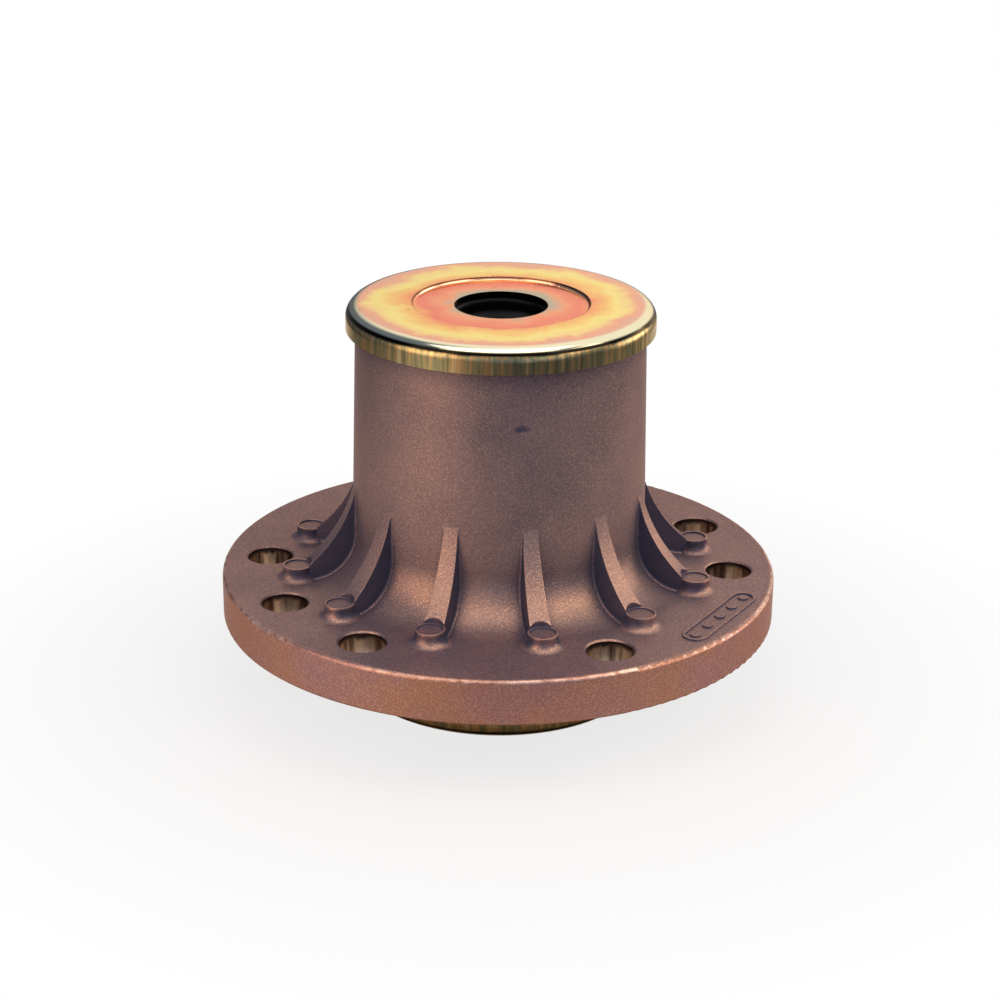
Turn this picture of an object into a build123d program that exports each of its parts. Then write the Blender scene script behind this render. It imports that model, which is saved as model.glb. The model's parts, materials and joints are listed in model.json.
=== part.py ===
"""Mower deck spindle housing with its two ball bearings, spacer sleeve and dust caps.

Millimetres. The spindle turns about Z. The origin is the centre of the flange's underside, the face
that seats on the deck, and +Z points from the flange up the barrel. Azimuth 0 is the front, -Y, where
the first bolt hole lies, and azimuths grow towards +X.
"""
from build123d import *
import math
import os

# Flange
flange_diameter = 165.0
flange_thickness = 13.3
flange_top_round = 1.2
flange_bottom_round = 0.8

# Bolt holes: a six-hole and a four-hole circle that share one pair of holes
bolt_circle_counts = (6, 4)
bolt_hole_diameter = 13.5
bolt_edge_distance = 13.5
bolt_hole_chamfer = 0.5

# Barrel above the flange and boss below it, cast with draft towards their ends
barrel_height = 79.0
boss_depth = 20.9
barrel_end_diameter = 84.4
barrel_draft = 1.2
barrel_end_round = 0.5
barrel_foot_fillet = 14.0
boss_foot_fillet = 2.5

# Ribs from the barrel down to the flange, midway between the bolt holes
rib_count = 12
rib_height = 31.0
rib_reach = 16.8
rib_back_radius = 42.0
rib_crest_width = 3.8
rib_draft = 2.4
rib_fade_depth = 0.5
rib_foot_fillet = 0.8
rib_root_depth = 2.0

# Ejector pin pads that end the ribs
pad_diameter = 8.6
pad_height = 4.0
pad_foot_fillet = 2.5
pad_rim_width = 0.55
pad_print_depth = 0.45

# Raised casting plaque on the flange, with plain pips
plaque_azimuth = 32.0
plaque_edge_distance = 8.4
plaque_length = 38.0
plaque_width = 7.4
plaque_line_width = 0.8
plaque_relief = 0.5
pip_count = 5
pip_diameter = 3.0

# Ball bearings
bearing_bore = 25.4
bearing_outside = 62.0
bearing_width = 17.0
race_edge_round = 1.1
ball_count = 7
ball_diameter = 11.0
ball_clearance = 0.15
groove_depth = 2.0
groove_to_ball = 1.04

# Bearing cages, two pressed halves riveted between the balls
cage_sheet = 0.8
cage_land_gap = 0.6
rivet_diameter = 1.8
rivet_head_diameter = 3.0
rivet_head_height = 0.6

# Bearing seals
seal_inset = 0.4
seal_snap_depth = 1.6
seal_lip_gap = 0.3
seal_cage_gap = 0.3

# Bearing seats and the cored hollow between them
bearing_recess = 0.2
seat_shoulder_width = 3.5
seat_mouth_chamfer = 0.8
core_draft = 0.5

# Spacer sleeve between the inner races
spacer_wall = 3.5
spacer_end_chamfer = 0.5
spindle_clearance = 0.3

# Pressed dust caps
cap_sheet = 1.9
cap_height = 7.5
cap_corner_round = 4.0
cap_hole_clearance = 0.8
cap_running_gap = 0.8
cap_dish_depth = 1.0
cap_dish_step_run = 0.5
cap_dish_step_round = 0.4
cap_race_gap = 0.65

# Allowance by which a fused shape starts under the surface that it grows from
weld_depth = 0.05

# Places and sizes that follow from the values above
draft_slope = math.tan(math.radians(barrel_draft))
rib_slope = math.tan(math.radians(rib_draft))
flange_radius = flange_diameter / 2
flange_top = flange_thickness
bolt_circle_radius = flange_radius - bolt_edge_distance
barrel_top = flange_top + barrel_height
barrel_end_radius = barrel_end_diameter / 2
barrel_foot_radius = barrel_end_radius + barrel_height * draft_slope
boss_foot_radius = barrel_end_radius + boss_depth * draft_slope
rib_top = flange_top + rib_height
pad_radius = pad_diameter / 2
pad_top = flange_top + pad_height
pad_circle_radius = barrel_foot_radius + rib_reach
pad_print_radius = pad_radius - pad_rim_width
rib_foot_radius = pad_circle_radius + pad_print_radius

bore_radius = bearing_bore / 2
seat_radius = bearing_outside / 2
ball_radius = ball_diameter / 2
pitch_radius = (bore_radius + seat_radius) / 2
inner_land_radius = pitch_radius - ball_radius + groove_depth
outer_land_radius = pitch_radius + ball_radius - groove_depth
groove_radius = ball_radius * groove_to_ball
groove_offset = groove_radius - ball_radius - ball_clearance
pocket_radius = ball_radius + ball_clearance
cage_reach = pocket_radius + cage_sheet
seal_seat_radius = outer_land_radius + seal_snap_depth
seal_thickness = bearing_width / 2 - seal_inset - seal_cage_gap - cage_reach
upper_race_face = barrel_top - bearing_recess
lower_race_face = -(boss_depth - bearing_recess)

cap_drop = cap_height - cap_sheet - cap_dish_depth
cap_inner_radius = barrel_end_radius + (cap_drop + bearing_recess) * draft_slope + cap_running_gap
cap_outer_radius = cap_inner_radius + cap_sheet
cap_dish_radius = seal_seat_radius - cap_race_gap - cap_dish_step_run


def outline(corners):
    """Face in the XZ plane from corners of (radius, height, rounding)."""
    edge = Polyline(*[(radius, height) for radius, height, rounding in corners], close=True)
    face = make_face(edge).face()
    for radius, height, rounding in corners:
        if rounding:
            corner = face.vertices().sort_by_distance((radius, height))[0]
            face = face.fillet_2d(rounding, [corner])
    return Plane.XZ * face


def turned(corners):
    """Whole solid of revolution about Z."""
    return revolve(outline(corners), axis=Axis.Z).solid()


def sector(face, half_angle):
    """Part of a solid of revolution about Z, centred on the X axis."""
    return revolve(Rot(Z=-half_angle) * face, axis=Axis.Z, revolution_arc=2 * half_angle).solid()


def at_azimuth(azimuth):
    """Turn what was made along X to an azimuth measured from the front."""
    return Rot(Z=azimuth - 90)


def faced(side):
    """Way up of a piece: side 1 leaves it, -1 turns it over about the front."""
    return Rot(Y=0 if side > 0 else 180)


def spread(count, first_azimuth=0.0):
    """Evenly spaced azimuths."""
    return [first_azimuth + number * 360 / count for number in range(count)]


def between(count):
    """Evenly spaced azimuths that lie midway between those of spread."""
    return spread(count, 180 / count)


def barrel_radius(height):
    return barrel_end_radius + (barrel_top - height) * draft_slope


def rib_half_width(height):
    return rib_crest_width / 2 + (rib_top - height) * rib_slope


def casting_blank():
    """Flange, barrel and boss with the bearing seats and the cored hollow."""
    upper_shoulder = upper_race_face - bearing_width
    lower_shoulder = lower_race_face + bearing_width
    shoulder_radius = seat_radius - seat_shoulder_width
    core_middle = (upper_shoulder + lower_shoulder) / 2
    core_taper = (upper_shoulder - core_middle) * math.tan(math.radians(core_draft))
    mouth_radius = seat_radius + seat_mouth_chamfer
    return turned([
        (barrel_end_radius, barrel_top, barrel_end_round),
        (barrel_foot_radius, flange_top, barrel_foot_fillet),
        (flange_radius, flange_top, flange_top_round),
        (flange_radius, 0, flange_bottom_round),
        (boss_foot_radius, 0, boss_foot_fillet),
        (barrel_end_radius, -boss_depth, barrel_end_round),
        (mouth_radius, -boss_depth, 0),
        (seat_radius, -boss_depth + seat_mouth_chamfer, 0),
        (seat_radius, lower_shoulder, 0),
        (shoulder_radius, lower_shoulder, 0),
        (shoulder_radius - core_taper, core_middle, 0),
        (shoulder_radius, upper_shoulder, 0),
        (seat_radius, upper_shoulder, 0),
        (seat_radius, barrel_top - seat_mouth_chamfer, 0),
        (mouth_radius, barrel_top, 0),
    ])


def rib_web(top):
    """Tapered upright web of one rib, up to a given height."""
    section = Polyline(
        (-rib_half_width(top), top),
        (rib_half_width(top), top),
        (rib_half_width(0), 0),
        (-rib_half_width(0), 0),
        close=True,
    )
    return extrude(Plane.YZ * make_face(section), pad_circle_radius)


def air_round_rib(half_angle):
    """Space round one rib, over the barrel and flange, with rounded foot edges."""
    top = rib_top + rib_reach
    outer_radius = pad_circle_radius + pad_diameter
    block = sector(outline([
        (barrel_radius(top) - weld_depth, top, 0),
        (barrel_foot_radius - weld_depth, flange_top - weld_depth, barrel_foot_fillet),
        (outer_radius, flange_top - weld_depth, 0),
        (outer_radius, top, 0),
    ]), half_angle)
    web = rib_web(top + rib_reach)
    air = block - web
    foot_edges = [
        edge for edge in new_edges(block, web, combined=air)
        if (edge @ 0.5).Z < top - weld_depth
        and abs((edge @ 0).Z - (edge @ 1).Z) < rib_height + pad_height
    ]
    return fillet(foot_edges, rib_foot_fillet)


def pad(root_height):
    """Ejector pin pad with a flared foot, rooted at a given height."""
    foot_height = flange_top - weld_depth
    foot_radius = pad_radius + 2 * pad_foot_fillet
    column = turned([
        (0, root_height, 0),
        (foot_radius, root_height, 0),
        (foot_radius, foot_height, 0),
        (pad_radius, foot_height, pad_foot_fillet),
        (pad_radius, pad_top, 0),
        (0, pad_top, 0),
    ])
    return Pos(pad_circle_radius, 0, 0) * column


def rib():
    """One rib along X under its hollow-curved back, with its foot fillets and its pad."""
    half_angle = 90 / rib_count
    root_radius = barrel_end_radius - rib_root_depth
    root_height = flange_top - rib_root_depth
    back_start = barrel_radius(rib_top) - rib_fade_depth
    back = RadiusArc((back_start, rib_top), (rib_foot_radius, flange_top), -rib_back_radius)
    walls = Polyline(
        (rib_foot_radius, flange_top),
        (rib_foot_radius, root_height),
        (root_radius, root_height),
        (root_radius, rib_top),
        (back_start, rib_top),
    )
    stock = sector(Plane.XZ * make_face(back + walls), half_angle)
    web = (stock - air_round_rib(2 * half_angle)).solid()
    return web + pad(root_height)


def pin_mark():
    """Ejector pin's mark: it cuts the rib's end off upright over the pad and leaves a shallow print in it."""
    floor = pad_top - pad_print_depth
    mark = turned([
        (0, floor, 0),
        (pad_print_radius, floor, 0),
        (pad_print_radius, pad_top, 0),
        (pad_radius, pad_top, 0),
        (pad_radius, rib_top, 0),
        (0, rib_top, 0),
    ])
    return Pos(pad_circle_radius, 0, 0) * mark


def bolt_hole():
    """Through hole with a small chamfer at the flange's top."""
    radius = bolt_hole_diameter / 2
    over = bolt_hole_chamfer
    hole = turned([
        (0, -over, 0),
        (radius, -over, 0),
        (radius, flange_top - over, 0),
        (radius + 2 * over, flange_top + over, 0),
        (0, flange_top + over, 0),
    ])
    return Pos(bolt_circle_radius, 0, 0) * hole


def plaque():
    """Raised oblong line on the flange round a row of plain pips."""
    line = SlotOverall(plaque_length, plaque_width)
    line -= SlotOverall(plaque_length - 2 * plaque_line_width, plaque_width - 2 * plaque_line_width)
    pitch = (plaque_length - plaque_width) / (pip_count - 1)
    pips = [
        Pos((number - (pip_count - 1) / 2) * pitch, 0) * Circle(pip_diameter / 2)
        for number in range(pip_count)
    ]
    raised = extrude(line + pips, plaque_relief + weld_depth)
    return Pos(flange_radius - plaque_edge_distance, 0, flange_top - weld_depth) * Rot(Z=90) * raised


def housing():
    """The whole casting, machined."""
    ribs = [at_azimuth(azimuth) * rib() for azimuth in between(rib_count)]
    pin_marks = [at_azimuth(azimuth) * pin_mark() for azimuth in between(rib_count)]
    bolt_azimuths = {azimuth for count in bolt_circle_counts for azimuth in spread(count)}
    holes = [at_azimuth(azimuth) * bolt_hole() for azimuth in sorted(bolt_azimuths)]
    casting = casting_blank() + ribs + at_azimuth(plaque_azimuth) * plaque()
    return casting - pin_marks - holes


# A bearing and a dust cap are made with the race's outboard face at height 0 and the bearing below it


def outer_race():
    step = seal_inset + seal_thickness
    ring = turned([
        (seal_seat_radius, 0, 0),
        (seat_radius, 0, race_edge_round),
        (seat_radius, -bearing_width, race_edge_round),
        (seal_seat_radius, -bearing_width, 0),
        (seal_seat_radius, -bearing_width + step, 0),
        (outer_land_radius, -bearing_width + step, 0),
        (outer_land_radius, -step, 0),
        (seal_seat_radius, -step, 0),
    ])
    return ring - Pos(Z=-bearing_width / 2) * Torus(pitch_radius - groove_offset, groove_radius)


def inner_race():
    ring = turned([
        (bore_radius, 0, race_edge_round),
        (inner_land_radius, 0, 0),
        (inner_land_radius, -bearing_width, 0),
        (bore_radius, -bearing_width, race_edge_round),
    ])
    return ring - Pos(Z=-bearing_width / 2) * Torus(pitch_radius + groove_offset, groove_radius)


def balls():
    ball = Pos(pitch_radius, 0, -bearing_width / 2) * Sphere(ball_radius)
    return Compound([at_azimuth(azimuth) * ball for azimuth in spread(ball_count)])


def cage_half(side):
    """Pressed ribbon with a pocket over each ball: side 1 is outboard, -1 is inboard."""
    inner_radius = inner_land_radius + cage_land_gap
    outer_radius = outer_land_radius - cage_land_gap
    band = Cylinder(outer_radius, 2 * cage_reach) - Cylinder(inner_radius, 2 * cage_reach)
    near_side = Pos(Z=cage_reach) * Cylinder(outer_radius, 2 * cage_reach)
    web = Pos(Z=cage_sheet / 2) * Cylinder(outer_radius, cage_sheet)
    places = [at_azimuth(azimuth) * Pos(pitch_radius, 0, 0) for azimuth in spread(ball_count)]
    shells = [place * Sphere(cage_reach) for place in places]
    pockets = [place * Sphere(pocket_radius) for place in places]
    rivet_holes = [
        at_azimuth(azimuth) * Pos(pitch_radius, 0, 0) * Cylinder(rivet_diameter / 2, 4 * cage_sheet)
        for azimuth in between(ball_count)
    ]
    half = ((web + shells) & near_side & band) - pockets - rivet_holes
    return Pos(Z=-bearing_width / 2) * faced(side) * half.solid()


def cage_rivets():
    shank = rivet_diameter / 2
    head = rivet_head_diameter / 2
    top = cage_sheet + rivet_head_height
    rivet = turned([
        (0, top, 0),
        (head, top, rivet_head_height * 2 / 3),
        (head, cage_sheet, 0),
        (shank, cage_sheet, 0),
        (shank, -cage_sheet, 0),
        (head, -cage_sheet, 0),
        (head, -top, rivet_head_height * 2 / 3),
        (0, -top, 0),
    ])
    placed = Pos(pitch_radius, 0, -bearing_width / 2) * rivet
    return Compound([at_azimuth(azimuth) * placed for azimuth in between(ball_count)])


def seal(side):
    """Rubber faced disc pressed into the outer race, with its lip just off the inner race."""
    lip_radius = inner_land_radius + seal_lip_gap
    middle = bearing_width / 2 - seal_inset
    disc = turned([
        (lip_radius, middle - seal_thickness, 0),
        (seal_seat_radius, middle - seal_thickness, 0),
        (seal_seat_radius, middle, 0),
        (lip_radius + seal_thickness, middle, 0),
    ])
    return Pos(Z=-bearing_width / 2) * faced(side) * disc


def spacer_sleeve():
    bore = bore_radius + spindle_clearance
    outside = bore + spacer_wall
    top = upper_race_face - bearing_width
    bottom = lower_race_face + bearing_width
    return turned([
        (bore, top, 0),
        (outside - spacer_end_chamfer, top, 0),
        (outside, top - spacer_end_chamfer, 0),
        (outside, bottom + spacer_end_chamfer, 0),
        (outside - spacer_end_chamfer, bottom, 0),
        (bore, bottom, 0),
    ])


def dust_cap():
    """Pressed cap: its dish bears on the inner race and its skirt hangs over the housing's end."""
    hole = bore_radius + cap_hole_clearance
    top = cap_sheet + cap_dish_depth
    return turned([
        (hole, 0, 0),
        (cap_dish_radius + cap_dish_step_run, 0, 0),
        (cap_dish_radius + 2 * cap_dish_step_run, cap_dish_depth, 0),
        (cap_inner_radius, cap_dish_depth, cap_corner_round - cap_sheet),
        (cap_inner_radius, -cap_drop, 0),
        (cap_outer_radius, -cap_drop, 0),
        (cap_outer_radius, top, cap_corner_round),
        (cap_dish_radius, top, cap_dish_step_round),
        (cap_dish_radius - cap_dish_step_run, cap_sheet, cap_dish_step_round),
        (hole, cap_sheet, 0),
    ])


def end_pieces():
    """One end's bearing and dust cap, by name."""
    return {
        "outer_race": outer_race(),
        "inner_race": inner_race(),
        "balls": balls(),
        "cage_outboard_half": cage_half(1),
        "cage_inboard_half": cage_half(-1),
        "cage_rivets": cage_rivets(),
        "outboard_seal": seal(1),
        "inboard_seal": seal(-1),
        "dust_cap": dust_cap(),
    }


ends = {
    "upper": Pos(Z=upper_race_face) * faced(1),
    "lower": Pos(Z=lower_race_face) * faced(-1),
}
nodes = {"housing": housing(), "spacer_sleeve": spacer_sleeve()}
for end_name, place in ends.items():
    for piece_name, piece in end_pieces().items():
        nodes[f"{end_name}_{piece_name}"] = place * piece

os.makedirs("parts", exist_ok=True)
for node_name, node in nodes.items():
    export_step(node, f"parts/{node_name}.step")
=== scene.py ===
"""Looks of the mower spindle housing: its finishes, a plain studio table and the camera."""
import json
import math

import bpy
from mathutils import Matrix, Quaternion, Vector


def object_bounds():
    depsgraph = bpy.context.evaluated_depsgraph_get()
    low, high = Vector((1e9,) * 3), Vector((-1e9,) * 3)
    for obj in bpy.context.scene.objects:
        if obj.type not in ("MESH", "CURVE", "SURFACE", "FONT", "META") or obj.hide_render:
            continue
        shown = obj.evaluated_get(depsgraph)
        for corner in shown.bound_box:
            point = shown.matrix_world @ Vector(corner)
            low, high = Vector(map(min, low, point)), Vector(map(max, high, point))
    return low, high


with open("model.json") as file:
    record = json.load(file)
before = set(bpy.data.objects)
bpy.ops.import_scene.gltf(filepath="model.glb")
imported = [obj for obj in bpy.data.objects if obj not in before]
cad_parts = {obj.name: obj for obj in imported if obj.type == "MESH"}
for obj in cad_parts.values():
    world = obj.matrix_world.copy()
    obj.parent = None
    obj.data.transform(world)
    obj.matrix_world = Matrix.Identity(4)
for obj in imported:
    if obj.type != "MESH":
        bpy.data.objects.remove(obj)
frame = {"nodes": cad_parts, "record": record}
cad_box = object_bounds()

# Sockets of the Mix node when it mixes colours, and its result
mix_first = 6
mix_second = 7
mix_result = 2

# Edges that the finishes follow, in millimetres: the flange's outer radius and top, the upper cap's top,
# and the caps' outer radius, the radius of their dish and that of their hole
flange_radius = cad_box[1].x * 1000
flange_top = 13.3
cap_top = cad_box[1].z * 1000
cap_radius = 45.0
dish_radius = 25.1
cap_hole_radius = 13.5

# Spindle bore: the height of its middle, and how far each end is from there, in millimetres
bore = next(mount for mount in frame["record"]["mounts"] if mount["name"] == "spindle_bore")
bore_middle = bore["pos_m"][2] * 1000
bore_end = bore["dims"]["length_mm"] / 2

# Middle of the scuff on the barrel, in millimetres
scuff_place = (-13.4, -40.2, 71)

# Tone of the caps' film at each radius, in millimetres
film_rings = [
    (13, "b8b0a0"), (15, "dca890"), (17, "f6a07c"), (20, "f68a74"), (23, "f27e70"), (25, "f89a6e"),
    (27, "fab474"), (30, "fcd07e"), (33, "fcea90"), (36, "fadc92"), (39, "f2ac92"), (42, "e8b0a0")]

# A face is on a bolt hole's wall if it lies within this many radii of the hole's middle and its normal
# rises or falls by less than this
hole_reach = 1.02
upright_limit = 0.1

# Camera, turned from the front towards the left, in degrees and millimetres
camera_azimuth = -27.0
camera_elevation = 21.5
camera_roll = 0.655
camera_distance = 720.0
camera_aim_right = 0.29
camera_aim_height = 33.4
camera_lens = 87.0

# Table: its corners, as millimetres to the camera's right and towards it, and the gap under the object, so
# that its lowest face and the table do not lie in one plane
table_corners = [(-400, 450), (280, 90), (280, -450), (-200, -450)]
table_gap = 0.2

# The table's shadow is kept inside the first radius, under this share of white, and is gone outside the
# second, in millimetres
shadow_radii = (80, 190)
shadow_white = 0.78

# Mirrored in metal, the table is dark near the axis, up to these radii, and in a wedge that opens towards
# the camera. Its point fades in over these distances, in millimetres, and its two edges move away from the
# axis by this share of the way to the side
mirrored_radii = (60, 120)
wedge_distances = (60, 150)
wedge_slope = 0.6
wedge_white = 0.1

# Floor of the room: its height and half its width, in millimetres
room_floor_height = -700
room_floor_reach = 4000

# White backdrop behind the object, curving over it: the way to its middle, as millimetres to the camera's
# right, towards it and up, and the angle from there to its edge and the width of its soft edge, in degrees
backdrop_middle = (400, -690, 670)
backdrop_half_angle = 50.0
backdrop_soft_angle = 14.0
ambient_strength = 0.25

# Lamps stand round the object at one distance, in millimetres, and a lamp as bright as white paper takes
# this many watts for each square metre
lamp_distance = 1300.0
lamp_aim_height = 40.0
white_power = 4

# Each lamp's degrees round from the camera and up, its width and height, its brightness and its tint
softboxes = [
    ("left_softbox", -56, 23, 780, 1250, 2.5, "ffe6ce"),
    ("right_softbox", 70, 38, 900, 700, 3.0, "fff2de"),
    ("right_low_softbox", 112, 10, 800, 600, 3.2, "fff6ee"),
    ("front_softbox", 0, 34, 900, 460, 0.6, "fffaf4"),
    ("front_left_softbox", -30, 14, 600, 600, 0.6, "fff0e8"),
    ("front_right_softbox", 35, 14, 600, 600, 0.7, "eef4ff"),
    ("front_top_softbox", 0, 62, 1600, 500, 2.2, "fff4e6"),
    ("cool_fill_softbox", 4, 8, 1100, 420, 0.35, "8fb6ff"),
    ("overhead_softbox", 0, 84, 1300, 700, 1.2, "ffffff"),
]

# The camera's own right, and the level way towards it, which the table and the lamps are laid out by
turn = math.radians(camera_azimuth)
to_right = Vector((math.cos(turn), math.sin(turn), 0))
to_camera = Vector((math.sin(turn), -math.cos(turn), 0))


def metres(millimetres):
    return millimetres / 1000


def per_metre(millimetres):
    """Scale of a pattern whose features are this wide."""
    return 1000 / millimetres


def studio_point(right, near, up):
    """Point in metres from millimetres to the camera's right, towards it and up."""
    return (to_right * right + to_camera * near + Vector((0, 0, up))) / 1000


def linear(srgb_hex):
    """Linear colour from an sRGB hex value."""
    channels = [int(srgb_hex[start:start + 2], 16) / 255 for start in (0, 2, 4)]
    return [c / 12.92 if c <= 0.04045 else ((c + 0.055) / 1.055) ** 2.4 for c in channels] + [1]


def add_node(tree, kind, settings, sockets):
    """Add a shader node with its options, and with a value or a link for each named input."""
    made = tree.nodes.new("ShaderNode" + kind)
    for name, value in settings.items():
        setattr(made, name, value)
    for name, value in sockets.items():
        if isinstance(value, bpy.types.NodeSocket):
            tree.links.new(value, made.inputs[name])
        else:
            made.inputs[name].default_value = value
    return made


def new_finish(name):
    """Empty material and its node tree."""
    material = bpy.data.materials.new(name)
    material.use_nodes = True
    material.node_tree.nodes.clear()
    return material, material.node_tree


def place_and_radius(tree):
    """Place on the object in metres, and its distance from the spindle's axis."""
    place = add_node(tree, "TexCoord", {}, {}).outputs["Object"]
    across = add_node(tree, "VectorMath", {"operation": "MULTIPLY"}, {0: place, 1: (1, 1, 0)})
    radius = add_node(tree, "VectorMath", {"operation": "LENGTH"}, {0: across.outputs[0]})
    return place, radius.outputs["Value"]


def die_cast_aluminium():
    """Aluminium casting with a baked brown coat: satin, with sand-fine grain and rubbed edges."""
    material, tree = new_finish("die_cast_aluminium_brown_coat")
    place, radius = place_and_radius(tree)
    height = add_node(tree, "SeparateXYZ", {}, {"Vector": place}).outputs["Z"]

    # Cloudy tone over thumb-sized areas
    cloud = add_node(tree, "TexNoise", {}, {
        "Vector": place, "Scale": per_metre(22), "Detail": 4, "Roughness": 0.6})
    tone = add_node(tree, "MapRange", {}, {"Value": cloud.outputs[0], "From Min": 0.35, "From Max": 0.65})
    coat = add_node(tree, "Mix", {"data_type": "RGBA"}, {
        0: tone.outputs[0], mix_first: linear("806050"), mix_second: linear("93705c")})

    # Painted warm light on the flange's rim: its side is tinted warmer than the cast skin, as where the warm
    # lamps fall on it
    rim = add_node(tree, "MapRange", {}, {
        "Value": radius, "From Min": metres(flange_radius - 1.7), "From Max": metres(flange_radius - 0.5)})
    rim_painted_warm_light = add_node(tree, "Mix", {"data_type": "RGBA"}, {
        0: tone.outputs[0], mix_first: linear("94655c"), mix_second: linear("a26a4a")})
    with_painted_rim_light = add_node(tree, "Mix", {"data_type": "RGBA"}, {
        0: rim.outputs[0], mix_first: coat.outputs[mix_result], mix_second: rim_painted_warm_light.outputs[mix_result]})

    # Cast grain, drawn about twice as coarse as the real one so that it shows
    grain = add_node(tree, "TexNoise", {}, {
        "Vector": place, "Scale": per_metre(0.5), "Detail": 2, "Roughness": 0.6})
    speckle = add_node(tree, "MapRange", {}, {
        "Value": grain.outputs[0], "From Min": 0.3, "From Max": 0.7, "To Min": -0.25, "To Max": 0.4})
    speckled = add_node(tree, "Mix", {"data_type": "RGBA"}, {
        0: speckle.outputs[0], mix_first: with_painted_rim_light.outputs[mix_result], mix_second: linear("e2ae8c")})

    # Edges rubbed brighter, in patches
    edge = add_node(tree, "AmbientOcclusion", {"inside": True, "only_local": True, "samples": 8}, {
        "Distance": metres(1.6)})
    edge_mask = add_node(tree, "MapRange", {}, {
        "Value": edge.outputs["AO"], "From Min": 0.6, "From Max": 0.35})
    patches = add_node(tree, "TexNoise", {}, {
        "Vector": place, "Scale": per_metre(3.5), "Detail": 3, "Roughness": 0.7})
    patch_mask = add_node(tree, "MapRange", {}, {
        "Value": patches.outputs[0], "From Min": 0.38, "From Max": 0.55})
    rubbed = add_node(tree, "Math", {"operation": "MULTIPLY"}, {
        0: edge_mask.outputs[0], 1: patch_mask.outputs[0]})
    worn = add_node(tree, "Mix", {"data_type": "RGBA"}, {
        0: rubbed.outputs[0], mix_first: speckled.outputs[mix_result], mix_second: linear("cc9a7e")})

    # Pale, chipped line along stretches of the flange's top edge, where the part is knocked about
    lip_edge = flange_radius + flange_top
    outward = add_node(tree, "Math", {"operation": "ADD"}, {0: radius, 1: height})
    lip = add_node(tree, "MapRange", {}, {
        "Value": outward.outputs[0], "From Min": metres(lip_edge - 1.2), "From Max": metres(lip_edge - 0.8)})
    stretch = add_node(tree, "TexNoise", {}, {"Vector": place, "Scale": per_metre(26), "Detail": 2})
    stretch_mask = add_node(tree, "MapRange", {}, {
        "Value": stretch.outputs[0], "From Min": 0.35, "From Max": 0.62, "To Min": 0.1})
    lip_stretch = add_node(tree, "Math", {"operation": "MULTIPLY"}, {
        0: lip.outputs[0], 1: stretch_mask.outputs[0]})
    lip_patches = add_node(tree, "Math", {"operation": "MULTIPLY"}, {
        0: lip_stretch.outputs[0], 1: patch_mask.outputs[0]})
    knocked = add_node(tree, "Math", {"operation": "MULTIPLY"}, {
        0: lip_patches.outputs[0], 1: rim.outputs[0]})
    with_lip = add_node(tree, "Mix", {"data_type": "RGBA"}, {
        0: knocked.outputs[0], mix_first: worn.outputs[mix_result], mix_second: linear("eec8b2")})

    # Painted shade on the sides of the ribs: faces turned round the axis are painted dark, as where they lie
    # in shadow
    around = add_node(tree, "VectorMath", {"operation": "CROSS_PRODUCT"}, {0: place, 1: (0, 0, 1)})
    sideways = add_node(tree, "VectorMath", {"operation": "NORMALIZE"}, {0: around.outputs[0]})
    facing = add_node(tree, "TexCoord", {}, {}).outputs["Normal"]
    aside = add_node(tree, "VectorMath", {"operation": "DOT_PRODUCT"}, {0: facing, 1: sideways.outputs[0]})
    either_side = add_node(tree, "Math", {"operation": "ABSOLUTE"}, {0: aside.outputs["Value"]})
    rib_side_painted_shade = add_node(tree, "MapRange", {}, {
        "Value": either_side.outputs[0], "From Min": 0.5, "From Max": 0.8, "To Max": 0.78})
    with_painted_rib_shade = add_node(tree, "Mix", {"data_type": "RGBA"}, {
        0: rib_side_painted_shade.outputs[0], mix_first: with_lip.outputs[mix_result], mix_second: linear("1e1a2c")})

    # Dark smear where a tool rubbed the barrel
    from_scuff = add_node(tree, "VectorMath", {"operation": "SUBTRACT"}, {
        0: place, 1: [metres(distance) for distance in scuff_place]})
    flattened = add_node(tree, "VectorMath", {"operation": "MULTIPLY"}, {
        0: from_scuff.outputs[0], 1: (1, 1, 3)})
    scuff_distance = add_node(tree, "VectorMath", {"operation": "LENGTH"}, {0: flattened.outputs[0]})
    ragged = add_node(tree, "Math", {"operation": "MULTIPLY_ADD"}, {
        0: patches.outputs[0], 1: metres(8), 2: scuff_distance.outputs["Value"]})
    scuff = add_node(tree, "MapRange", {}, {
        "Value": ragged.outputs[0], "From Min": metres(7.5), "From Max": metres(5.5), "To Max": 0.85})
    with_scuff = add_node(tree, "Mix", {"data_type": "RGBA"}, {
        0: scuff.outputs[0], mix_first: with_painted_rib_shade.outputs[mix_result], mix_second: linear("2a2833")})

    # Painted shade in the recesses and in a band under the upper cap's rim
    recess = add_node(tree, "AmbientOcclusion", {"samples": 8}, {"Distance": metres(8)})
    recess_painted_shade = add_node(tree, "MapRange", {}, {
        "Value": recess.outputs["AO"], "From Min": 0.72, "From Max": 0.5, "To Max": 0.92})
    under_cap_painted_shade = add_node(tree, "MapRange", {}, {
        "Value": height, "From Min": metres(cap_top - 14), "From Max": metres(cap_top - 7), "To Max": 0.45})
    painted_shade_mask = add_node(tree, "Math", {"operation": "MAXIMUM"}, {
        0: recess_painted_shade.outputs[0], 1: under_cap_painted_shade.outputs[0]})
    finished = add_node(tree, "Mix", {"data_type": "RGBA"}, {
        0: painted_shade_mask.outputs[0], mix_first: with_scuff.outputs[mix_result], mix_second: linear("2a263a")})

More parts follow.
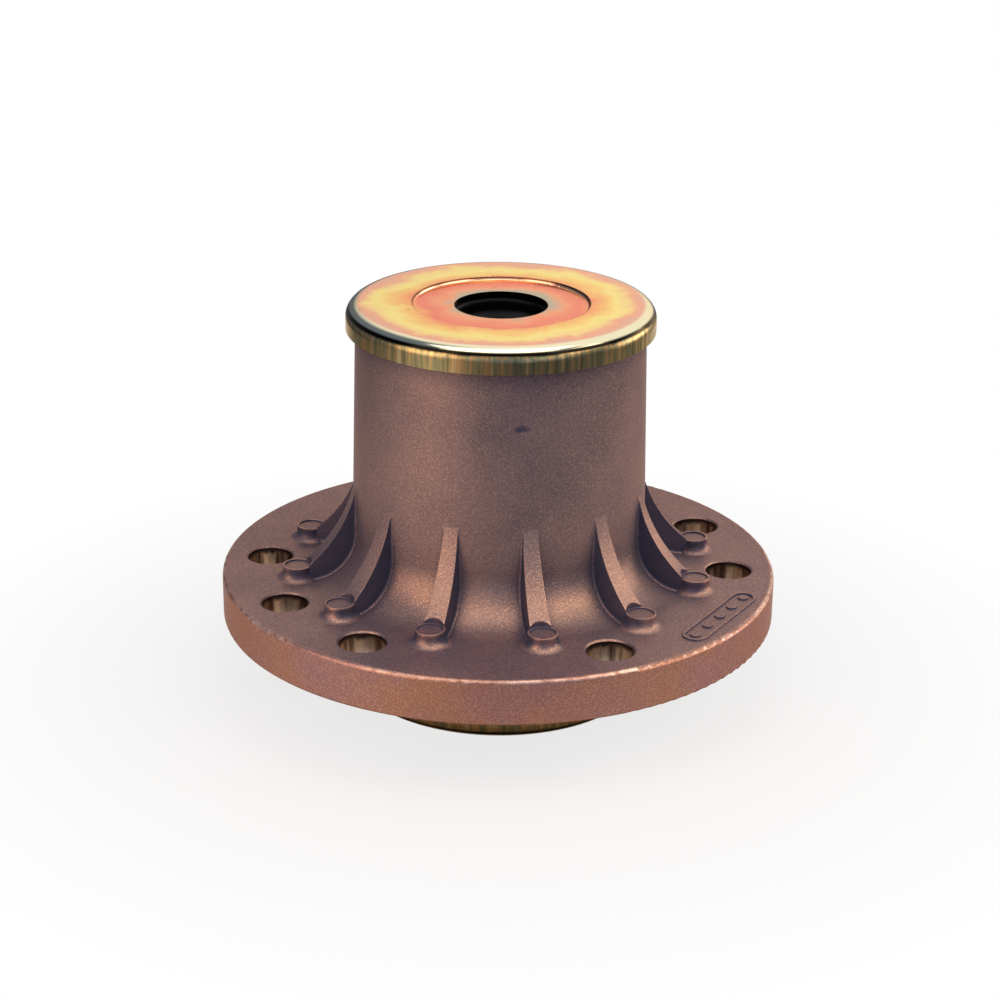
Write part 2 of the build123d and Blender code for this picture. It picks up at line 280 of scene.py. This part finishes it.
    rough = add_node(tree, "MapRange", {}, {
        "Value": cloud.outputs[0], "From Min": 0.3, "From Max": 0.7, "To Min": 0.36, "To Max": 0.46})
    softened = add_node(tree, "Bevel", {"samples": 6}, {"Radius": metres(0.35)})
    bump = add_node(tree, "Bump", {}, {
        "Height": grain.outputs[0], "Distance": metres(0.12), "Normal": softened.outputs[0]})
    shader = add_node(tree, "BsdfPrincipled", {}, {
        "Base Color": finished.outputs[mix_result], "Metallic": 0.9, "Specular Tint": linear("cdb8ae"),
        "Roughness": rough.outputs[0], "Normal": bump.outputs[0]})

    # Thin violet-grey bloom on the coat, which cools the sides that no lamp reaches
    bloom = add_node(tree, "BsdfDiffuse", {}, {"Color": linear("646c8a"), "Normal": bump.outputs[0]})
    bloom_share = add_node(tree, "MapRange", {}, {"Value": rim.outputs[0], "To Min": 0.2, "To Max": 0.11})
    veiled = add_node(tree, "MixShader", {}, {
        0: bloom_share.outputs[0], 1: shader.outputs[0], 2: bloom.outputs[0]})
    add_node(tree, "OutputMaterial", {}, {"Surface": veiled.outputs[0]})
    return material


def drilled_aluminium():
    """Bolt hole walls cut bright by the drill, with upright marks where it was drawn back out."""
    material, tree = new_finish("drilled_aluminium")
    place = add_node(tree, "TexCoord", {}, {}).outputs["Object"]
    stretched = add_node(tree, "VectorMath", {"operation": "MULTIPLY"}, {0: place, 1: (1, 1, 0.1)})
    marks = add_node(tree, "TexNoise", {}, {
        "Vector": stretched.outputs[0], "Scale": per_metre(3), "Detail": 3})
    mark_tone = add_node(tree, "MapRange", {}, {"Value": marks.outputs[0], "From Min": 0.4, "From Max": 0.6})
    tone = add_node(tree, "Mix", {"data_type": "RGBA"}, {
        0: mark_tone.outputs[0], mix_first: linear("6a5448"), mix_second: linear("e8d0ba")})

    # Painted shade on the top few millimetres of the hole's wall, to a ragged edge
    height = add_node(tree, "SeparateXYZ", {}, {"Vector": place}).outputs["Z"]
    ragged = add_node(tree, "Math", {"operation": "MULTIPLY_ADD"}, {
        0: marks.outputs[0], 1: metres(4), 2: height})
    coat = add_node(tree, "MapRange", {}, {
        "Value": ragged.outputs[0], "From Min": metres(flange_top - 0.3),
        "From Max": metres(flange_top + 0.9), "To Max": 0.92})
    with_painted_top_shade = add_node(tree, "Mix", {"data_type": "RGBA"}, {
        0: coat.outputs[0], mix_first: tone.outputs[mix_result], mix_second: linear("2c2430")})
    shader = add_node(tree, "BsdfPrincipled", {}, {
        "Base Color": with_painted_top_shade.outputs[mix_result], "Metallic": 1.0, "Roughness": 0.32})
    add_node(tree, "OutputMaterial", {}, {"Surface": shader.outputs[0]})
    return material


def yellow_zinc_plate():
    """Pressed steel, zinc plated and yellow passivated: a bright film in rings of gold, orange and pink."""
    material, tree = new_finish("yellow_passivated_zinc_plate")
    place, radius = place_and_radius(tree)

    # Film drained unevenly, so its rings wander by a few millimetres
    drift = add_node(tree, "TexNoise", {}, {
        "Vector": place, "Scale": per_metre(20), "Detail": 7, "Roughness": 0.66, "Distortion": 0.4})
    wander = add_node(tree, "MapRange", {"clamp": False}, {
        "Value": drift.outputs[0], "From Min": 0.3, "From Max": 0.7,
        "To Min": metres(-4), "To Max": metres(4)})
    thickness = add_node(tree, "Math", {"operation": "ADD"}, {0: radius, 1: wander.outputs[0]})
    outermost = film_rings[-1][0]
    along = add_node(tree, "MapRange", {}, {"Value": thickness.outputs[0], "From Max": metres(outermost)})
    film = add_node(tree, "ValToRGB", {}, {"Fac": along.outputs[0]})
    ramp = film.color_ramp.elements
    ramp[0].color = linear(film_rings[0][1])
    ramp[1].color = linear(film_rings[-1][1])
    for ring_radius, tone in film_rings[:-1]:
        ramp.new(ring_radius / outermost).color = linear(tone)

    # Specks of dirt, a millimetre or two wide
    dirt = add_node(tree, "TexNoise", {}, {"Vector": place, "Scale": per_metre(2.2), "Detail": 2})
    dirt_mask = add_node(tree, "MapRange", {}, {
        "Value": dirt.outputs[0], "From Min": 0.7, "From Max": 0.78, "To Max": 0.7})
    top = add_node(tree, "Mix", {"data_type": "RGBA"}, {
        0: dirt_mask.outputs[0], mix_first: film.outputs[0], mix_second: linear("7a5034")})

    # Step round the dish: its wall is painted paler as a painted highlight, and on the upper cap a painted
    # shadow makes a dark line along its top
    step_inner = add_node(tree, "MapRange", {}, {
        "Value": radius, "From Min": metres(dish_radius), "From Max": metres(dish_radius + 0.2)})
    step_outer = add_node(tree, "MapRange", {}, {
        "Value": radius, "From Min": metres(dish_radius + 1.0), "From Max": metres(dish_radius + 0.7)})
    step_band = add_node(tree, "Math", {"operation": "MULTIPLY"}, {
        0: step_inner.outputs[0], 1: step_outer.outputs[0]})
    height = add_node(tree, "SeparateXYZ", {}, {"Vector": place}).outputs["Z"]
    step_brow = add_node(tree, "MapRange", {}, {
        "Value": height, "From Min": metres(cap_top - 0.55), "From Max": metres(cap_top - 0.4)})
    step_painted_shadow = add_node(tree, "Math", {"operation": "MULTIPLY"}, {
        0: step_band.outputs[0], 1: step_brow.outputs[0]})
    step_wall_painted_highlight = add_node(tree, "Math", {"operation": "MULTIPLY"}, {0: step_band.outputs[0], 1: 0.6})
    with_step_wall_highlight = add_node(tree, "Mix", {"data_type": "RGBA"}, {
        0: step_wall_painted_highlight.outputs[0], mix_first: top.outputs[mix_result], mix_second: linear("d8b8a0")})
    with_step_painted_shadow = add_node(tree, "Mix", {"data_type": "RGBA"}, {
        0: step_painted_shadow.outputs[0], mix_first: with_step_wall_highlight.outputs[mix_result], mix_second: linear("6a3a26")})

    # Paler film where the sheet was stretched round the corner, and below it a painted dark reflection, a
    # dark line
    corner = add_node(tree, "MapRange", {}, {
        "Value": radius, "From Min": metres(cap_radius - 3.8), "From Max": metres(cap_radius - 2.8)})
    with_corner = add_node(tree, "Mix", {"data_type": "RGBA"}, {
        0: corner.outputs[0], mix_first: with_step_painted_shadow.outputs[mix_result], mix_second: linear("f2e9c4")})
    line = add_node(tree, "MapRange", {}, {
        "Value": radius, "From Min": metres(cap_radius - 1.3), "From Max": metres(cap_radius - 0.9)})
    with_corner_dark_reflection = add_node(tree, "Mix", {"data_type": "RGBA"}, {
        0: line.outputs[0], mix_first: with_corner.outputs[mix_result], mix_second: linear("141210")})

    # Upright draw marks down the skirt
    stretched = add_node(tree, "VectorMath", {"operation": "MULTIPLY"}, {0: place, 1: (1, 1, 0.05)})
    marks = add_node(tree, "TexNoise", {}, {
        "Vector": stretched.outputs[0], "Scale": per_metre(1.6), "Detail": 3, "Roughness": 0.6})
    mark_tone = add_node(tree, "MapRange", {}, {
        "Value": marks.outputs[0], "From Min": 0.35, "From Max": 0.65})
    drawn = add_node(tree, "ValToRGB", {}, {"Fac": mark_tone.outputs[0]})
    draw_tones = drawn.color_ramp.elements
    draw_tones[0].color = linear("8a7c56")
    draw_tones[1].color = linear("d8be88")
    draw_tones.new(0.4).color = linear("a49a6e")
    draw_tones.new(0.7).color = linear("cc9c62")
    skirt = add_node(tree, "MapRange", {}, {
        "Value": radius, "From Min": metres(cap_radius - 0.5), "From Max": metres(cap_radius - 0.2)})
    with_skirt = add_node(tree, "Mix", {"data_type": "RGBA"}, {
        0: skirt.outputs[0], mix_first: with_corner_dark_reflection.outputs[mix_result], mix_second: drawn.outputs[0]})

    # Painted shade: the edge of the hole is painted dark, as where it lies in shadow
    hole_edge_painted_shade = add_node(tree, "MapRange", {}, {
        "Value": radius, "From Min": metres(cap_hole_radius + 0.2),
        "From Max": metres(cap_hole_radius + 0.1)})
    finished = add_node(tree, "Mix", {"data_type": "RGBA"}, {
        0: hole_edge_painted_shade.outputs[0], mix_first: with_skirt.outputs[mix_result], mix_second: linear("2b2622")})

    # The stretched corner is the smoothest part and the drawn skirt the dullest
    smooth = add_node(tree, "MapRange", {}, {"Value": corner.outputs[0], "To Min": 0.24, "To Max": 0.14})
    dulled = add_node(tree, "MapRange", {}, {"Value": skirt.outputs[0], "To Max": 0.16})
    rough = add_node(tree, "Math", {"operation": "ADD"}, {0: smooth.outputs[0], 1: dulled.outputs[0]})
    shader = add_node(tree, "BsdfPrincipled", {}, {
        "Base Color": finished.outputs[mix_result], "Metallic": 1.0, "Roughness": rough.outputs[0],
        "Specular Tint": linear("fff0da")})
    add_node(tree, "OutputMaterial", {}, {"Surface": shader.outputs[0]})
    return material


def steel(name, tone, roughness, grain_width):
    """Bare steel with a light machining grain."""
    material, tree = new_finish(name)
    place = add_node(tree, "TexCoord", {}, {}).outputs["Object"]
    grain = add_node(tree, "TexNoise", {}, {"Vector": place, "Scale": per_metre(grain_width), "Detail": 3})
    rough = add_node(tree, "MapRange", {}, {
        "Value": grain.outputs[0], "To Min": roughness - 0.08, "To Max": roughness + 0.08})

    # Painted shade, black near the bore's open ends
    height = add_node(tree, "SeparateXYZ", {}, {"Vector": place}).outputs["Z"]
    from_middle = add_node(tree, "Math", {"operation": "SUBTRACT"}, {0: height, 1: metres(bore_middle)})
    endward = add_node(tree, "Math", {"operation": "ABSOLUTE"}, {0: from_middle.outputs[0]})
    bore_end_painted_shade = add_node(tree, "MapRange", {}, {
        "Value": endward.outputs[0], "From Min": metres(bore_end - 3.8), "From Max": metres(bore_end - 2.3),
        "To Max": 0.97})
    with_bore_end_shade = add_node(tree, "Mix", {"data_type": "RGBA"}, {
        0: bore_end_painted_shade.outputs[0], mix_first: linear(tone), mix_second: linear("0a090c")})
    shader = add_node(tree, "BsdfPrincipled", {}, {
        "Base Color": with_bore_end_shade.outputs[mix_result], "Metallic": 1.0, "Roughness": rough.outputs[0]})
    add_node(tree, "OutputMaterial", {}, {"Surface": shader.outputs[0]})
    return material


def nitrile_rubber():
    """Moulded black rubber, matt, with a faint bloom."""
    material, tree = new_finish("moulded_nitrile_rubber")
    place = add_node(tree, "TexCoord", {}, {}).outputs["Object"]
    bloom = add_node(tree, "TexNoise", {}, {"Vector": place, "Scale": per_metre(3), "Detail": 3})
    tone = add_node(tree, "Mix", {"data_type": "RGBA"}, {
        0: bloom.outputs[0], mix_first: linear("1b1b1c"), mix_second: linear("2b2b2c")})
    shader = add_node(tree, "BsdfPrincipled", {}, {
        "Base Color": tone.outputs[mix_result], "Roughness": 0.6, "IOR": 1.52})
    add_node(tree, "OutputMaterial", {}, {"Surface": shader.outputs[0]})
    return material


finishes = {
    "cast_aluminium": die_cast_aluminium(),
    "yellow_zinc_plate": yellow_zinc_plate(),
    "bearing_steel": steel("ground_bearing_steel", "6e6f74", 0.46, 0.5),
    "pressed_steel": steel("rolled_cage_steel", "a9a9aa", 0.35, 0.8),
    "turned_steel": steel("turned_sleeve_steel", "8e8f92", 0.32, 0.6),
    "seal_rubber": nitrile_rubber(),
}
for subpart in frame["record"]["subparts"]:
    mesh = frame["nodes"][subpart["node"]].data
    mesh.materials.clear()
    mesh.materials.append(finishes[subpart["material_slot"]])


def finish_bolt_holes():
    """Give the upright faces inside the bolt holes the drilled finish."""
    casting = frame["nodes"]["housing"].data
    casting.materials.append(drilled_aluminium())
    drilled_slot = len(casting.materials) - 1
    pattern = [m for m in frame["record"]["mounts"] if m["kind"] == "bolt_pattern"]
    reach = metres(pattern[0]["dims"]["hole_r_mm"]) * hole_reach
    boxes = [opening["box_m"] for opening in frame["record"]["physics"]["openings"]]
    centres = [Vector([(low[axis] + high[axis]) / 2 for axis in (0, 1)]) for low, high in boxes]
    for face in casting.polygons:
        from_hole = min((face.center.xy - centre).length for centre in centres)
        if abs(face.normal.z) < upright_limit and from_hole < reach:
            face.material_index = drilled_slot


def white_background(tree, other, seen_share, mirrored_share):
    """White to the camera and in mirrors and glass, in the given shares, over another shader."""
    path = add_node(tree, "LightPath", {}, {})
    in_mirror = add_node(tree, "Math", {"operation": "MAXIMUM"}, {
        0: path.outputs["Is Glossy Ray"], 1: path.outputs["Is Transmission Ray"]})
    mirrored = add_node(tree, "Math", {"operation": "MULTIPLY"}, {0: in_mirror.outputs[0], 1: mirrored_share})
    shown = add_node(tree, "Math", {"operation": "MULTIPLY_ADD"}, {
        0: path.outputs["Is Camera Ray"], 1: seen_share, 2: mirrored.outputs[0]})
    white = add_node(tree, "Emission", {}, {"Color": (1, 1, 1, 1), "Strength": 1.0})
    return add_node(tree, "MixShader", {}, {0: shown.outputs[0], 1: other, 2: white.outputs[0]}).outputs[0]


def flat_sheet(name, corners, height):
    """Level four-cornered sheet, its corners as millimetres to the camera's right and towards it."""
    mesh = bpy.data.meshes.new(name)
    mesh.from_pydata([studio_point(right, near, height) for right, near in corners], [], [(0, 1, 2, 3)])
    sheet = bpy.data.objects.new(name, mesh)
    bpy.context.scene.collection.objects.link(sheet)
    return sheet


def white_table():
    """Matt white paper table that keeps the shadow under the object."""
    table = flat_sheet("white_table", table_corners, cad_box[0].z * 1000 - table_gap)
    material, tree = new_finish("matt_white_paper")
    paper = add_node(tree, "BsdfDiffuse", {}, {"Color": linear("c4c0bc")})
    place, radius = place_and_radius(tree)
    fade = add_node(tree, "MapRange", {}, {
        "Value": radius, "From Min": metres(shadow_radii[0]), "From Max": metres(shadow_radii[1]),
        "To Min": shadow_white, "To Max": 1.0})
    lit = add_node(tree, "MapRange", {}, {
        "Value": radius, "From Min": metres(mirrored_radii[0]), "From Max": metres(mirrored_radii[1])})
    nearness = add_node(tree, "VectorMath", {"operation": "DOT_PRODUCT"}, {0: place, 1: to_camera})
    sideways = add_node(tree, "VectorMath", {"operation": "DOT_PRODUCT"}, {0: place, 1: to_right})
    either_side = add_node(tree, "Math", {"operation": "ABSOLUTE"}, {0: sideways.outputs["Value"]})
    in_front = add_node(tree, "Math", {"operation": "MULTIPLY_ADD"}, {
        0: either_side.outputs[0], 1: -wedge_slope, 2: nearness.outputs["Value"]})
    unshaded = add_node(tree, "MapRange", {}, {
        "Value": in_front.outputs[0], "From Min": metres(wedge_distances[0]),
        "From Max": metres(wedge_distances[1]), "To Min": 1.0, "To Max": wedge_white})
    mirrored = add_node(tree, "Math", {"operation": "MULTIPLY"}, {0: lit.outputs[0], 1: unshaded.outputs[0]})
    shown = white_background(tree, paper.outputs[0], fade.outputs[0], mirrored.outputs[0])
    add_node(tree, "OutputMaterial", {}, {"Surface": shown})
    material.cycles.emission_sampling = "NONE"
    table.data.materials.append(material)


def dim_room_floor():
    """Dark floor of the room below the table, out of the picture, that the metal mirrors."""
    reach = room_floor_reach
    corners = [(-reach, reach), (reach, reach), (reach, -reach), (-reach, -reach)]
    room_floor = flat_sheet("room_floor", corners, room_floor_height)
    material, tree = new_finish("dark_room_floor")
    dark = add_node(tree, "BsdfDiffuse", {}, {"Color": linear("62646e")})
    add_node(tree, "OutputMaterial", {}, {"Surface": dark.outputs[0]})
    room_floor.data.materials.append(material)
    room_floor.visible_camera = False


def white_world():
    """White background over an even, slightly cool light; metal mirrors it where the backdrop hangs."""
    world = bpy.data.worlds.new("studio")
    world.use_nodes = True
    world.cycles.sampling_method = "NONE"
    tree = world.node_tree
    tree.nodes.clear()
    direction = add_node(tree, "TexCoord", {}, {}).outputs["Generated"]
    middle = studio_point(*backdrop_middle).normalized()
    facing = add_node(tree, "VectorMath", {"operation": "DOT_PRODUCT"}, {0: direction, 1: middle})
    backdrop = add_node(tree, "MapRange", {}, {
        "Value": facing.outputs["Value"],
        "From Min": math.cos(math.radians(backdrop_half_angle)),
        "From Max": math.cos(math.radians(backdrop_half_angle - backdrop_soft_angle))})
    studio = add_node(tree, "Background", {}, {"Color": linear("bdd2ff"), "Strength": ambient_strength})
    shown = white_background(tree, studio.outputs[0], 1.0, backdrop.outputs[0])
    add_node(tree, "OutputWorld", {}, {"Surface": shown})
    bpy.context.scene.world = world


def softbox(name, azimuth, elevation, width, height, brightness, tint):
    """Soft light round the object, by degrees from the camera; brightness 1 is as bright as white paper."""
    lamp = bpy.data.lights.new(name, "AREA")
    lamp.shape = "RECTANGLE"
    lamp.size = metres(width)
    lamp.size_y = metres(height)
    lamp.energy = white_power * metres(width) * metres(height) * brightness
    lamp.color = linear(tint)[:3]
    light = bpy.data.objects.new(name, lamp)
    level = lamp_distance * math.cos(math.radians(elevation))
    light.location = studio_point(
        level * math.sin(math.radians(azimuth)),
        level * math.cos(math.radians(azimuth)),
        lamp_aim_height + lamp_distance * math.sin(math.radians(elevation)))
    light.rotation_mode = "QUATERNION"
    aim = studio_point(0, 0, lamp_aim_height)
    light.rotation_quaternion = (aim - light.location).to_track_quat("-Z", "Y")
    light.visible_camera = False
    bpy.context.scene.collection.objects.link(light)


def camera():
    """Camera in front of the object, level apart from a slight roll."""
    lens = bpy.data.cameras.new("camera")
    lens.lens = camera_lens
    lens.clip_start = metres(10)
    viewer = bpy.data.objects.new("camera", lens)
    aim = studio_point(camera_aim_right, 0, camera_aim_height)
    rise = math.radians(camera_elevation)
    back = to_camera * math.cos(rise) + Vector((0, 0, math.sin(rise)))
    viewer.location = aim + back * metres(camera_distance)
    viewer.rotation_mode = "QUATERNION"
    upright = (-back).to_track_quat("-Z", "Y")
    viewer.rotation_quaternion = upright @ Quaternion((0, 0, 1), math.radians(camera_roll))
    bpy.context.scene.collection.objects.link(viewer)
    bpy.context.scene.camera = viewer


finish_bolt_holes()
white_table()
dim_room_floor()
white_world()
for lamp_values in softboxes:
    softbox(*lamp_values)
camera()

bpy.context.scene.view_settings.view_transform = "Standard"
